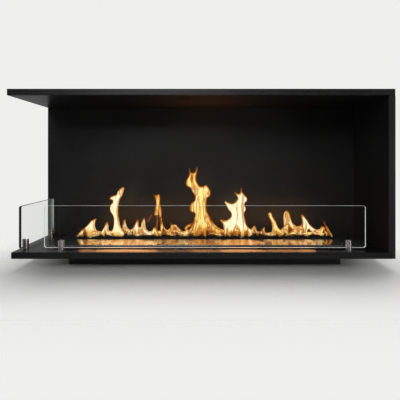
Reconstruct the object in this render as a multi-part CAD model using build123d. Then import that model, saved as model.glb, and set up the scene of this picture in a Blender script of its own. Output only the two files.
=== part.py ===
from build123d import *
import math
import os

# A bioethanol fireplace for a wall: a double-skinned sheet steel casing, open at the front and the left,
# with a ribbon burner let into its base and two low panes in round holders.
# Millimetres. +X runs along the front to the closed end, +Y into the wall, +Z up.
# The origin is the middle of the four wall nuts, on the rear face.

# Casing
WIDTH = 1200.0            # top wall, end to end
DEPTH = 320.0             # front face to rear face
OPENING_HEIGHT = 485.0    # firebox floor to ceiling
TOP_THICK = 20.0
BASE_THICK = 20.0
BACK_THICK = 20.0
SIDE_THICK = 21.0
BASE_SETBACK = 13.0       # the base ends this far short of the top at the open end
SIDE_LIP = 10.0           # strip of the closed end that runs down beside the base
SHEET = 1.5
FOLD_RADIUS = 2.0         # outside radius of a fold
TAB_EDGE = 1.3            # eased upper edge of the floor's end tab
LIP = 14.0                # turned-in edge that carries a cover
COVER_GAP = 0.5

# Fixing to the wall
NUT_INSET_X = 100.0       # from each end of the top wall
NUT_INSET_Z = 52.5        # above the firebox floor, and below the ceiling
NUT_THREAD = 8.0
NUT_BODY = 14.0
NUT_HEIGHT = 6.0
NUT_SHANK = 10.5

# Screws
COVER_SCREW = 4.0
COVER_SCREW_HEAD = 7.0
COVER_SCREW_LENGTH = 8.0
COVER_SCREW_PITCH = 400.0
JOINING_SCREW = 5.0
JOINING_SCREW_HEAD = 8.0  # across the flats
JOINING_SCREW_HEAD_HEIGHT = 3.5
JOINING_SCREW_LENGTH = 9.0
JOINING_SCREW_PITCH = 300.0
SCREW_HOLE_GAP = 0.2      # round a screw in its hole
SEAM_INSET = 60.0         # first and last joining screw from the ends of a seam

# Burner: its length follows the casing, and everything in it follows its top plate
DECK_FROM_OPEN_END = 164.0
DECK_FROM_CLOSED_END = 125.0
DECK_FRONT = 53.0         # behind the front face
DECK_WIDTH = 171.0
DECK_SHEET = 2.0
DECK_CORNER = 4.0
COLLAR_INSET_X = 19.0     # from each end of the top plate
COLLAR_FRONT = 140.0      # behind the front face
COLLAR_WIDTH = 58.0
COLLAR_WALL = 1.5
COLLAR_TOP = 10.0
COLLAR_CORNER = 6.0
TANK_INSET_X = 12.0       # from each end of the top plate
TANK_FRONT = 100.0        # behind the front face
TANK_WIDTH = 106.0
TANK_DEPTH = 54.0
TANK_SHEET = 1.5
TANK_CORNER = 12.0
TANK_FOOT_RADIUS = 4.0
DROP_GAP = 4.0            # round the tank in the cut-out of the base
WOOL_TOP = -12.0
WOOL_BLOCKS = 3
WOOL_GAP = 0.3
GRATE_TOP = -4.0
GRATE_SHEET = 1.0
GRATE_GAP = 1.0           # to the inside of the collar
GRATE_HOLE = 9.0          # across the corners of a hexagonal hole
GRATE_PITCH = 14.0
GRATE_ROWS = 3

# Housing under the base, round the tank
HOUSING_GAP_X = 14.0      # from the tank to the housing's outside
HOUSING_GAP_Y = 20.0
HOUSING_GAP_Z = 2.5       # under the tank
HOUSING_CORNER = 3.0
HOUSING_RIM = 12.0
HOUSING_HOLE_GAP = 0.5    # to the hole in the underside
HOUSING_SCREW = 4.0
HOUSING_SCREW_HEAD = 8.0
HOUSING_SCREW_HEAD_HEIGHT = 2.4
HOUSING_SCREW_EDGE = 1.2
HOUSING_SCREW_INSET = 24.0
HOUSING_SCREWS_PER_SIDE = 5

# Sliding shutter, parked in front of the slot
SHUTTER_OVERHANG_X = 2.0  # past each end of the top plate
SHUTTER_OVERHANG_Y = 3.0  # in front of the top plate
SHUTTER_PARK_GAP = 1.0    # to the collar when the slot is open
SHUTTER_OVERLAP = 6.0     # behind the collar when the slot is closed
SHUTTER_SHEET = 1.2
SHUTTER_OVER_COLLAR = 0.8
SHUTTER_SKIRT_GAP = 0.5   # over the rivets of the rails
SHUTTER_FOLD = 1.8
SHUTTER_HOOK_HOLE = 8.0
SHUTTER_HOOK_INSET_X = 60.0
SHUTTER_HOOK_INSET_Y = 22.0
SHUTTER_SLIDE_GAP = 0.1   # above the rails
SHUTTER_SIDE_GAP = 0.5    # beside each rail, to the end skirts and in the notches of the front skirt
SHUTTER_STOP_GAP = 0.3
RAIL_SHEET = 1.5
RAIL_FOOT = 10.0
RAIL_STOP_HEIGHT = 2.5    # above the shutter's underside
RIVET = 3.2
RIVET_HEAD = 6.0
RIVET_HEAD_HEIGHT = 1.0
RIVET_EDGE = 0.5
RIVETS_PER_RAIL = 3

# Panes and their holders
GLASS_THICK = 8.0
GLASS_FOOT = 7.0          # above the firebox floor
GLASS_HEIGHT = 133.0
GLASS_CORNER = 7.0
GLASS_EDGE = 0.8
FRONT_GLASS_FROM_OPEN_END = 101.0
FRONT_GLASS_FROM_CLOSED_END = 58.0
FRONT_GLASS_LINE = 37.0   # middle of the pane behind the front face
SIDE_GLASS_FRONT = 19.0   # front edge behind the front face
SIDE_GLASS_FROM_BACK = 30.0
SIDE_GLASS_LINE = 32.0    # middle of the pane from the open end of the top wall
HOLDER_DIAMETER = 20.0
HOLDER_HEIGHT = 30.0
HOLDER_EDGE = 0.8
HOLDER_INSET = 53.0       # from each end of the front pane
SIDE_HOLDER_INSET_FRONT = 37.0
SIDE_HOLDER_INSET_REAR = 19.0
PAD_THICK = 1.0
PAD_GAP = 0.15            # between a pad and the pane
PAD_INSET = 0.5
HOLDER_SCREW = 6.0
HOLDER_SCREW_HEAD = 11.0
HOLDER_SCREW_HEAD_HEIGHT = 3.3
HOLDER_SCREW_DEPTH = 4.5

# Levels and faces that several pieces share
FLOOR = -OPENING_HEIGHT / 2
CEILING = OPENING_HEIGHT / 2
TOP = CEILING + TOP_THICK
UNDERSIDE = FLOOR - BASE_THICK
FRONT = -DEPTH
REAR = 0.0
BACK_FACE = REAR - BACK_THICK
LEFT = -WIDTH / 2
RIGHT = WIDTH / 2
SIDE_FACE = RIGHT - SIDE_THICK
BASE_LEFT = LEFT + BASE_SETBACK
CUT_SLACK = 1.0           # how far a cutting tool runs past a face
PICK_SLACK = 0.1          # how near a level an edge is to count as on it

# Burner, worked out from the casing
DECK_LEFT = LEFT + DECK_FROM_OPEN_END
DECK_LENGTH = SIDE_FACE - DECK_FROM_CLOSED_END - DECK_LEFT
BURNER_CENTRE_X = DECK_LEFT + DECK_LENGTH / 2
COLLAR_LENGTH = DECK_LENGTH - 2 * COLLAR_INSET_X
TANK_LENGTH = DECK_LENGTH - 2 * TANK_INSET_X
HOUSING_LENGTH = TANK_LENGTH + 2 * HOUSING_GAP_X
HOUSING_WIDTH = TANK_WIDTH + 2 * HOUSING_GAP_Y
HOUSING_BOTTOM = FLOOR - TANK_DEPTH - HOUSING_GAP_Z - SHEET
DECK_MIDDLE = FRONT + DECK_FRONT + DECK_WIDTH / 2
COLLAR_MIDDLE = FRONT + COLLAR_FRONT + COLLAR_WIDTH / 2
TANK_MIDDLE = FRONT + TANK_FRONT + TANK_WIDTH / 2

# Shutter, worked out from the burner's top plate and its collar
SHUTTER_LENGTH = DECK_LENGTH + 2 * SHUTTER_OVERHANG_X
SHUTTER_FRONT = FRONT + DECK_FRONT - SHUTTER_OVERHANG_Y
SHUTTER_REAR = FRONT + COLLAR_FRONT - SHUTTER_PARK_GAP
SHUTTER_TRAVEL = SHUTTER_PARK_GAP + COLLAR_WIDTH + SHUTTER_OVERLAP
SLIDE_LEVEL = FLOOR + COLLAR_TOP + SHUTTER_OVER_COLLAR
SHUTTER_TOP = SLIDE_LEVEL + SHUTTER_SHEET
SKIRT_FOOT = FLOOR + DECK_SHEET + RAIL_SHEET + RIVET_HEAD_HEIGHT + SHUTTER_SKIRT_GAP

# Panes, worked out from the casing
FRONT_GLASS_LEFT = LEFT + FRONT_GLASS_FROM_OPEN_END
FRONT_GLASS_RIGHT = SIDE_FACE - FRONT_GLASS_FROM_CLOSED_END
FRONT_GLASS_Y = FRONT + FRONT_GLASS_LINE
SIDE_GLASS_X = LEFT + SIDE_GLASS_LINE
SIDE_GLASS_START = FRONT + SIDE_GLASS_FRONT
SIDE_GLASS_END = BACK_FACE - SIDE_GLASS_FROM_BACK


def box_between(low, high):
    """A box from its low corner to its high corner."""
    size = [b - a for a, b in zip(low, high)]
    middle = [(a + b) / 2 for a, b in zip(low, high)]
    return Pos(*middle) * Box(*size)


def rod(start, direction, diameter, length):
    """A round rod from a point along a direction."""
    upright = Cylinder(diameter / 2, length, align=(Align.CENTER, Align.CENTER, Align.MIN))
    return Plane(origin=start, z_dir=direction) * upright


def slab(middle_x, middle_y, length, width, corner, bottom, top):
    """A plate with round corners between two levels."""
    outline = RectangleRounded(length, width, corner) if corner > 0 else Rectangle(length, width)
    return Pos(middle_x, middle_y, bottom) * extrude(outline, top - bottom)


def moved_in(low, high, axis, at_low, at_high):
    """The limits of a box with its two faces across one axis moved in."""
    low, high = list(low), list(high)
    low[axis] += at_low
    high[axis] -= at_high
    return low, high


def in_plane(axis):
    """The two axes across a wall whose skin faces along the given axis."""
    return [other for other in range(3) if other != axis]


def fold_edges(solid, axis, skin_level):
    """The edges round a wall's skin, and the corner edges that run away from it."""
    directions = (Axis.X, Axis.Y, Axis.Z)
    around = [e for e in solid.edges() if abs(tuple(e.center())[axis] - skin_level) < PICK_SLACK]
    corners = list(solid.edges().filter_by(directions[axis]))
    return around + corners


def folded_liner(low, high, axis, skin_high):
    """The folded inner sheet of a wall: skin, four upstands and the lips that carry the cover."""
    skin_level = high[axis] if skin_high else low[axis]
    outer = box_between(low, high)
    outer = fillet(fold_edges(outer, axis, skin_level), FOLD_RADIUS)
    plan = (low, high)
    for other in in_plane(axis):
        plan = moved_in(*plan, other, SHEET, SHEET)
    skin_side, open_side = SHEET, 2 * SHEET
    ends = (open_side, skin_side) if skin_high else (skin_side, open_side)
    cavity = box_between(*moved_in(*plan, axis, *ends))
    mouth_ends = (-CUT_SLACK, skin_side) if skin_high else (skin_side, -CUT_SLACK)
    mouth = moved_in(*plan, axis, *mouth_ends)
    for other in in_plane(axis):
        mouth = moved_in(*mouth, other, LIP, LIP)
    return outer - cavity - box_between(*mouth) - cover_space(low, high, axis, skin_high, 0.0, CUT_SLACK)


def cover_space(low, high, axis, skin_high, gap, past):
    """The space of a cover inside the upstands, less a gap all round."""
    plan = (low, high)
    for other in in_plane(axis):
        plan = moved_in(*plan, other, SHEET + gap, SHEET + gap)
    thickness = high[axis] - low[axis]
    ends = (-past, thickness - SHEET) if skin_high else (thickness - SHEET, -past)
    return box_between(*moved_in(*plan, axis, *ends))


def cover_screw_places(low, high, axis, skin_high):
    """Points on a cover's outer face, along the middle of the lips."""
    inset = SHEET + LIP / 2
    first, second = in_plane(axis)
    if high[first] - low[first] < high[second] - low[second]:
        first, second = second, first
    run = high[first] - low[first] - 2 * inset
    count = math.ceil(run / COVER_SCREW_PITCH) + 1
    places = []
    for row in (low[second] + inset, high[second] - inset):
        for i in range(count):
            place = [0.0, 0.0, 0.0]
            place[axis] = low[axis] if skin_high else high[axis]
            place[first] = low[first] + inset + run * i / (count - 1)
            place[second] = row
            places.append(tuple(place))
    return places


def inward(axis, skin_high):
    """The direction from a wall's cover to its skin."""
    direction = [0, 0, 0]
    direction[axis] = 1 if skin_high else -1
    return tuple(direction)


def countersunk_screw(place, direction, gap=0.0):
    """A screw with a right-angled countersunk head, flush with the place."""
    head_depth = (COVER_SCREW_HEAD - COVER_SCREW) / 2
    cone = Cone(
        COVER_SCREW_HEAD / 2 + gap, COVER_SCREW / 2 + gap, head_depth,
        align=(Align.CENTER, Align.CENTER, Align.MIN),
    )
    shank = rod(place, direction, COVER_SCREW + 2 * gap, COVER_SCREW_LENGTH)
    return Plane(origin=place, z_dir=direction) * cone + shank


def without_screws(solid, places, direction):
    """A solid with the countersunk holes of its cover screws."""
    for place in places:
        solid -= countersunk_screw(place, direction, SCREW_HOLE_GAP)
    return solid


def joining_screw(place, direction):
    """A hexagon screw: its head stands on the place, its shank runs along the direction."""
    seat = Plane(origin=place, z_dir=direction)
    head_radius = JOINING_SCREW_HEAD / 2 / math.cos(math.pi / 6)
    head = seat * Pos(0, 0, -JOINING_SCREW_HEAD_HEIGHT) * extrude(
        RegularPolygon(head_radius, 6), JOINING_SCREW_HEAD_HEIGHT
    )
    return head + rod(place, direction, JOINING_SCREW, JOINING_SCREW_LENGTH)


def joining_hole(place, direction):
    """The clearance hole of a joining screw through both sheets."""
    back = tuple(p - CUT_SLACK * d for p, d in zip(place, direction))
    return rod(back, direction, JOINING_SCREW + 2 * SCREW_HOLE_GAP, JOINING_SCREW_LENGTH)


def spread(first, last):
    """Evenly spaced positions at about the joining screws' pitch."""
    count = max(2, math.ceil((last - first) / JOINING_SCREW_PITCH) + 1)
    return [first + (last - first) * i / (count - 1) for i in range(count)]


# Walls: limits, axis across the wall, and whether the skin is on its high side
TOP_WALL = ((LEFT, FRONT, CEILING), (RIGHT, REAR, TOP), 2, False)
SIDE_WALL = ((SIDE_FACE, FRONT, UNDERSIDE), (RIGHT, REAR, CEILING), 0, False)
BACK_WALL = ((LEFT, BACK_FACE, UNDERSIDE), (SIDE_FACE, REAR, CEILING), 1, False)
BASE_WALL = ((BASE_LEFT, FRONT, UNDERSIDE), (SIDE_FACE, BACK_FACE, FLOOR), 2, True)

# Joining screws: where each head stands, and which way the shank runs
TOP_TO_BACK = [
    ((x, REAR - BACK_THICK / 2, CEILING + SHEET), (0, 0, -1))
    for x in spread(LEFT + SEAM_INSET, SIDE_FACE - SEAM_INSET)
]
TOP_TO_SIDE = [
    ((RIGHT - SIDE_THICK / 2, y, CEILING + SHEET), (0, 0, -1))
    for y in spread(FRONT + SEAM_INSET, BACK_FACE - SEAM_INSET)
]
BASE_TO_BACK = [
    ((x, BACK_FACE - SHEET, FLOOR - BASE_THICK / 2), (0, 1, 0))
    for x in spread(BASE_LEFT + SEAM_INSET, SIDE_FACE - SEAM_INSET)
]
BASE_TO_SIDE = [
    ((SIDE_FACE - SHEET, y, FLOOR - BASE_THICK / 2), (1, 0, 0))
    for y in spread(FRONT + SEAM_INSET, BACK_FACE - SEAM_INSET)
]
BACK_TO_SIDE = [
    ((SIDE_FACE - SHEET, REAR - BACK_THICK / 2, z), (1, 0, 0))
    for z in spread(FLOOR + SEAM_INSET, CEILING - SEAM_INSET)
]


def drilled(solid, *seams):
    """A solid with the joining holes of its seams."""
    for seam in seams:
        for place, direction in seam:
            solid -= joining_hole(place, direction)
    return solid


def wall_liner(wall):
    """The inner sheet of a wall, with the holes of its cover's screws."""
    low, high, axis, skin_high = wall
    liner = folded_liner(low, high, axis, skin_high)
    return without_screws(liner, cover_screw_places(*wall), inward(axis, skin_high))


def wall_cover(wall):
    """The flat sheet that closes a wall from outside, between the upstands."""
    low, high, axis, skin_high = wall
    cover = cover_space(low, high, axis, skin_high, COVER_GAP, 0.0)
    return without_screws(cover, cover_screw_places(*wall), inward(axis, skin_high))


def make_ceiling_liner():
    """The ceiling, folded up at the front into the top's front face."""
    return drilled(wall_liner(TOP_WALL), TOP_TO_BACK, TOP_TO_SIDE)


def make_side_liner():
    """The closed end's inner sheet, with a notch for the end of the base's front face."""
    liner = drilled(wall_liner(SIDE_WALL), TOP_TO_SIDE, BASE_TO_SIDE, BACK_TO_SIDE)
    notch = box_between(
        (SIDE_FACE - CUT_SLACK, FRONT - CUT_SLACK, UNDERSIDE - CUT_SLACK),
        (RIGHT - SIDE_LIP + COVER_GAP, FRONT + SHEET + COVER_GAP, FLOOR + COVER_GAP),
    )
    return liner - notch


def make_back_liner():
    """The back of the firebox."""
    return drilled(wall_liner(BACK_WALL), TOP_TO_BACK, BASE_TO_BACK, BACK_TO_SIDE)


def make_back_cover():
    """The rear sheet, with the holes that the wall nuts are pressed into."""
    cover = wall_cover(BACK_WALL)
    for x, z in nut_places():
        cover -= rod((x, REAR + CUT_SLACK, z), (0, -1, 0), NUT_SHANK, SHEET + 2 * CUT_SLACK)
    return cover


def nut_places():
    """X and Z of the four wall nuts, round the origin."""
    xs = (LEFT + NUT_INSET_X, RIGHT - NUT_INSET_X)
    zs = (FLOOR + NUT_INSET_Z, CEILING - NUT_INSET_Z)
    return [(x, z) for x in xs for z in zs]


def make_wall_nuts():
    """Press-in nuts: a round body inside the casing, and a shank flush with the rear face."""
    nuts = []
    for x, z in nut_places():
        shank = rod((x, REAR, z), (0, -1, 0), NUT_SHANK, SHEET)
        body = rod((x, REAR - SHEET, z), (0, -1, 0), NUT_BODY, NUT_HEIGHT)
        bore_length = SHEET + NUT_HEIGHT + 2 * CUT_SLACK
        bore = rod((x, REAR + CUT_SLACK, z), (0, -1, 0), NUT_THREAD, bore_length)
        nuts.append(shank + body - bore)
    return Compound(children=nuts)


def burner_cutout(low, high):
    """The hole in the base that the tank drops through."""
    return slab(
        BURNER_CENTRE_X, TANK_MIDDLE, TANK_LENGTH + 2 * DROP_GAP, TANK_WIDTH + 2 * DROP_GAP,
        TANK_CORNER + DROP_GAP, low, high,
    )


def make_floor_tray():
    """The firebox floor, folded down all round, its front face carried on to the end's outer strip."""
    tray = drilled(wall_liner(BASE_WALL), BASE_TO_BACK, BASE_TO_SIDE)
    tab = box_between(
        (SIDE_FACE - 2 * FOLD_RADIUS, FRONT, UNDERSIDE),
        (RIGHT - SIDE_LIP, FRONT + SHEET, FLOOR),
    )
    upper_edges = tab.edges().filter_by(Axis.X).group_by(Axis.Z)[-1]
    upper_front = upper_edges.sort_by(Axis.Y)[0]
    tray = tray + fillet(upper_front, TAB_EDGE)
    tray -= burner_cutout(FLOOR - SHEET - CUT_SLACK, FLOOR + CUT_SLACK)
    hole = HOLDER_SCREW + 2 * SCREW_HOLE_GAP
    for x, y in holder_places():
        tray -= rod((x, y, FLOOR + CUT_SLACK), (0, 0, -1), hole, SHEET + 2 * CUT_SLACK)
    return tray


def make_base_underside():
    """The sheet under the base, with the hole that the housing hangs through."""
    cover = wall_cover(BASE_WALL)
    cover -= housing_slab(HOUSING_HOLE_GAP, UNDERSIDE - CUT_SLACK, UNDERSIDE + SHEET + CUT_SLACK)
    for x, y in housing_screw_places():
        cover -= housing_screw_hole(x, y, UNDERSIDE)
    return cover


def housing_slab(grow, low, high):
    """A block of the housing's outline, made larger all round by the given amount."""
    return slab(
        BURNER_CENTRE_X, TANK_MIDDLE, HOUSING_LENGTH + 2 * grow, HOUSING_WIDTH + 2 * grow,
        HOUSING_CORNER + grow, low, high,
    )


def housing_screw_hole(x, y, foot):
    """The hole of a housing screw through one sheet."""
    hole = HOUSING_SCREW + 2 * SCREW_HOLE_GAP
    return rod((x, y, foot - CUT_SLACK), (0, 0, 1), hole, SHEET + 2 * CUT_SLACK)


def housing_screw_places():
    """Along the front and rear rims of the housing."""
    half_run = HOUSING_LENGTH / 2 - HOUSING_SCREW_INSET
    half_width = HOUSING_WIDTH / 2 + HOUSING_RIM / 2
    steps = HOUSING_SCREWS_PER_SIDE - 1
    return [
        (BURNER_CENTRE_X - half_run + 2 * half_run * i / steps, TANK_MIDDLE + side * half_width)
        for side in (-1, 1)
        for i in range(HOUSING_SCREWS_PER_SIDE)
    ]


def make_burner_housing():
    """An open box round the tank, hung by its rim on the sheet under the base."""
    rim_foot = UNDERSIDE + SHEET
    body = housing_slab(0.0, HOUSING_BOTTOM, rim_foot + SHEET)
    rim = housing_slab(HOUSING_RIM, rim_foot, rim_foot + SHEET)
    inside = housing_slab(-SHEET, HOUSING_BOTTOM + SHEET, rim_foot + SHEET + CUT_SLACK)
    housing = body + rim - inside
    for x, y in housing_screw_places():
        housing -= housing_screw_hole(x, y, rim_foot)
    return housing


def top_circle(solid):
    """The highest round edge of an upright solid."""
    return solid.edges().filter_by(GeomType.CIRCLE).sort_by(Axis.Z)[-1]


def make_housing_screws():
    """Pan-head screws that pull the rim down on the sheet."""
    screws = []
    seat = UNDERSIDE + 2 * SHEET
    for x, y in housing_screw_places():
        head = rod((x, y, seat), (0, 0, 1), HOUSING_SCREW_HEAD, HOUSING_SCREW_HEAD_HEIGHT)
        head = fillet(top_circle(head), HOUSING_SCREW_EDGE)
        screws.append(head + rod((x, y, seat), (0, 0, -1), HOUSING_SCREW, 2 * SHEET))
    return Compound(children=screws)


def make_cover_screws():
    """The countersunk screws of the four covers."""
    screws = []
    for wall in (TOP_WALL, SIDE_WALL, BACK_WALL, BASE_WALL):
        direction = inward(wall[2], wall[3])
        for place in cover_screw_places(*wall):
            screws.append(countersunk_screw(place, direction))
    return Compound(children=screws)


def make_joining_screws():
    """The hexagon screws that join the walls, all inside the casing."""
    screws = []
    for seam in (TOP_TO_BACK, TOP_TO_SIDE, BASE_TO_BACK, BASE_TO_SIDE, BACK_TO_SIDE):
        for place, direction in seam:
            screws.append(joining_screw(place, direction))
    return Compound(children=screws)


def make_burner_deck():
    """The burner's top plate, folded up round the slot into a collar."""
    deck = slab(
        BURNER_CENTRE_X, DECK_MIDDLE, DECK_LENGTH, DECK_WIDTH, DECK_CORNER, FLOOR, FLOOR + DECK_SHEET,
    )
    collar = slab(
        BURNER_CENTRE_X, COLLAR_MIDDLE, COLLAR_LENGTH, COLLAR_WIDTH, COLLAR_CORNER,
        FLOOR, FLOOR + COLLAR_TOP,
    )
    deck = deck + collar - collar_opening(FLOOR - CUT_SLACK, FLOOR + COLLAR_TOP + CUT_SLACK)
    for x, y in rivet_places():
        deck -= rod((x, y, FLOOR - CUT_SLACK), (0, 0, 1), RIVET, DECK_SHEET + 2 * CUT_SLACK)
    return deck


def collar_opening(low, high):
    """The slot inside the collar."""
    return slab(
        BURNER_CENTRE_X, COLLAR_MIDDLE, COLLAR_LENGTH - 2 * COLLAR_WALL, COLLAR_WIDTH - 2 * COLLAR_WALL,
        COLLAR_CORNER - COLLAR_WALL, low, high,
    )


def make_burner_tank():
    """The fuel tank, a deep drawn trough welded under the deck."""
    outer = slab(
        BURNER_CENTRE_X, TANK_MIDDLE, TANK_LENGTH, TANK_WIDTH, TANK_CORNER, FLOOR - TANK_DEPTH, FLOOR,
    )
    outer = fillet(outer.faces().sort_by(Axis.Z)[0].edges(), TANK_FOOT_RADIUS)
    inner = tank_inside(0.0, FLOOR - TANK_DEPTH + TANK_SHEET, FLOOR + CUT_SLACK)
    return outer - inner


def tank_inside(gap, low, high):
    """The space in the tank, less a gap all round, with the tank's rounded foot."""
    reach = 2 * (TANK_SHEET + gap)
    space = slab(
        BURNER_CENTRE_X, TANK_MIDDLE, TANK_LENGTH - reach, TANK_WIDTH - reach,
        TANK_CORNER - TANK_SHEET - gap, low, high,
    )
    return fillet(space.faces().sort_by(Axis.Z)[0].edges(), TANK_FOOT_RADIUS - TANK_SHEET)


def make_burner_wool():
    """Blocks of ceramic wool, side by side, that hold the fuel."""
    foot = FLOOR - TANK_DEPTH + TANK_SHEET
    whole = tank_inside(WOOL_GAP, foot, FLOOR + WOOL_TOP)
    block_length = TANK_LENGTH / WOOL_BLOCKS
    start = BURNER_CENTRE_X - TANK_LENGTH / 2
    blocks = []
    for i in range(WOOL_BLOCKS):
        keep = box_between(
            (start + i * block_length + WOOL_GAP / 2, TANK_MIDDLE - TANK_WIDTH, foot - CUT_SLACK),
            (start + (i + 1) * block_length - WOOL_GAP / 2, TANK_MIDDLE + TANK_WIDTH, FLOOR),
        )
        blocks.append(whole & keep)
    return Compound(children=blocks)


def make_burner_grate():
    """A perforated channel in the slot that stands on the wool."""
    reach = 2 * (COLLAR_WALL + GRATE_GAP)
    length = COLLAR_LENGTH - reach
    width = COLLAR_WIDTH - reach
    corner = COLLAR_CORNER - COLLAR_WALL - GRATE_GAP
    outer = slab(
        BURNER_CENTRE_X, COLLAR_MIDDLE, length, width, corner, FLOOR + WOOL_TOP, FLOOR + GRATE_TOP,
    )
    hollow = slab(
        BURNER_CENTRE_X, COLLAR_MIDDLE, length - 2 * GRATE_SHEET, width - 2 * GRATE_SHEET,
        corner - GRATE_SHEET, FLOOR + WOOL_TOP - CUT_SLACK, FLOOR + GRATE_TOP - GRATE_SHEET,
    )
    columns = math.floor((length - GRATE_PITCH) / GRATE_PITCH)
    row_pitch = GRATE_PITCH * math.sin(math.pi / 3)
    places = []
    for row in range(GRATE_ROWS):
        y = COLLAR_MIDDLE + (row - (GRATE_ROWS - 1) / 2) * row_pitch
        shift = GRATE_PITCH / 2 if row % 2 else 0.0
        for column in range(columns - row % 2):
            x = BURNER_CENTRE_X + (column - (columns - 1) / 2) * GRATE_PITCH + shift
            places.append(Pos(x, y, FLOOR + GRATE_TOP - GRATE_SHEET - CUT_SLACK))
    hole = extrude(RegularPolygon(GRATE_HOLE / 2, 6), GRATE_SHEET + 2 * CUT_SLACK)
    return outer - hollow - [place * hole for place in places]


def rail_span(side):
    """The outer and inner X limits of a rail, and its foot's inner limit."""
    outer = BURNER_CENTRE_X + side * (SHUTTER_LENGTH / 2 - SHUTTER_SHEET - SHUTTER_SIDE_GAP)
    return outer, outer - side * RAIL_SHEET, outer - side * RAIL_FOOT


def rail_ends():
    """The Y limits of the rails: clear of the shutter's skirt at rest, and its stop at full travel."""
    front = SHUTTER_FRONT + SHUTTER_SHEET + SHUTTER_STOP_GAP
    stop = SHUTTER_REAR + SHUTTER_TRAVEL + SHUTTER_STOP_GAP
    return front, stop


def rivet_places():
    """X and Y of the rivets, along the middle of each rail's flange."""
    front, stop = rail_ends()
    places = []
    for side in (-1, 1):
        outer, inner, foot = rail_span(side)
        for i in range(RIVETS_PER_RAIL):
            share = (i + 0.5) / RIVETS_PER_RAIL
            places.append(((inner + foot) / 2, front + (stop - front) * share))
    return places


def make_shutter_rail(side):
    """An angle that the shutter slides on, its rear end turned up as a stop."""
    outer, inner, foot = rail_span(side)
    front, stop = rail_ends()
    base = FLOOR + DECK_SHEET
    web = box_between(
        (min(outer, inner), front, base), (max(outer, inner), stop, SLIDE_LEVEL - SHUTTER_SLIDE_GAP),
    )
    flange = box_between(
        (min(outer, foot), front, base),
        (max(outer, foot), stop + RAIL_SHEET, base + RAIL_SHEET),
    )
    tab = box_between(
        (min(outer, foot), stop, base),
        (max(outer, foot), stop + RAIL_SHEET, SLIDE_LEVEL + RAIL_STOP_HEIGHT),
    )
    rail = web + flange + tab
    for x, y in rivet_places():
        rail -= rod((x, y, base - CUT_SLACK), (0, 0, 1), RIVET, RAIL_SHEET + 2 * CUT_SLACK)
    return rail


def make_rail_rivets():
    """Round-headed rivets that hold the rails on the burner's top plate."""
    rivets = []
    top = FLOOR + DECK_SHEET + RAIL_SHEET
    for x, y in rivet_places():
        head = rod((x, y, top), (0, 0, 1), RIVET_HEAD, RIVET_HEAD_HEIGHT)
        head = fillet(top_circle(head), RIVET_EDGE)
        rivets.append(head + rod((x, y, top), (0, 0, -1), RIVET, DECK_SHEET + RAIL_SHEET))
    return Compound(children=rivets)


def make_shutter():
    """The sliding plate that closes the slot, folded down at the front and at both ends."""
    front, rear = SHUTTER_FRONT, SHUTTER_REAR
    left = BURNER_CENTRE_X - SHUTTER_LENGTH / 2
    right = BURNER_CENTRE_X + SHUTTER_LENGTH / 2
    outer = box_between((left, front, SKIRT_FOOT), (right, rear, SHUTTER_TOP))
    top_edges = outer.edges().group_by(Axis.Z)[-1]
    uprights = outer.edges().filter_by(Axis.Z)
    folds = [e for e in top_edges + uprights if e.center().Y < rear - PICK_SLACK]
    outer = fillet(folds, SHUTTER_FOLD)
    inner = box_between(
        (left + SHUTTER_SHEET, front + SHUTTER_SHEET, FLOOR),
        (right - SHUTTER_SHEET, rear + CUT_SLACK, SLIDE_LEVEL),
    )
    shutter = outer - inner
    for side in (-1, 1):
        web = rail_span(side)[:2]
        shutter -= box_between(
            (min(web) - SHUTTER_SIDE_GAP, front - CUT_SLACK, FLOOR),
            (max(web) + SHUTTER_SIDE_GAP, front + SHUTTER_SHEET + CUT_SLACK, SLIDE_LEVEL),
        )
    for x in (left + SHUTTER_HOOK_INSET_X, right - SHUTTER_HOOK_INSET_X):
        place = (x, front + SHUTTER_HOOK_INSET_Y, SLIDE_LEVEL - CUT_SLACK)
        shutter -= rod(place, (0, 0, 1), SHUTTER_HOOK_HOLE, SHUTTER_SHEET + 2 * CUT_SLACK)
    return shutter


def front_holder_places():
    """X and Y of the two holders under the front pane."""
    xs = (FRONT_GLASS_LEFT + HOLDER_INSET, FRONT_GLASS_RIGHT - HOLDER_INSET)
    return [(x, FRONT_GLASS_Y) for x in xs]


def side_holder_places():
    """X and Y of the two holders under the side pane."""
    ys = (SIDE_GLASS_START + SIDE_HOLDER_INSET_FRONT, SIDE_GLASS_END - SIDE_HOLDER_INSET_REAR)
    return [(SIDE_GLASS_X, y) for y in ys]


def holder_places():
    """X and Y of all four holders."""
    return front_holder_places() + side_holder_places()


def slot_box(place, along_x, thickness, low, high):
    """A box through a holder along its pane, past it at both ends."""
    x, y = place
    half = (HOLDER_DIAMETER, thickness / 2) if along_x else (thickness / 2, HOLDER_DIAMETER)
    return box_between((x - half[0], y - half[1], low), (x + half[0], y + half[1], high))


def make_holder(place, along_x):
    """A round post with a slot for the padded foot of a pane."""
    post = rod((*place, FLOOR), (0, 0, 1), HOLDER_DIAMETER, HOLDER_HEIGHT)
    post = fillet(top_circle(post), HOLDER_EDGE)
    slot_width = GLASS_THICK + 2 * (PAD_THICK + PAD_GAP)
    slot_floor = FLOOR + GLASS_FOOT - PAD_THICK
    post -= slot_box(place, along_x, slot_width, slot_floor, FLOOR + HOLDER_HEIGHT + CUT_SLACK)
    foot = (*place, FLOOR - CUT_SLACK)
    return post - rod(foot, (0, 0, 1), HOLDER_SCREW, HOLDER_SCREW_DEPTH + CUT_SLACK)


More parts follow.
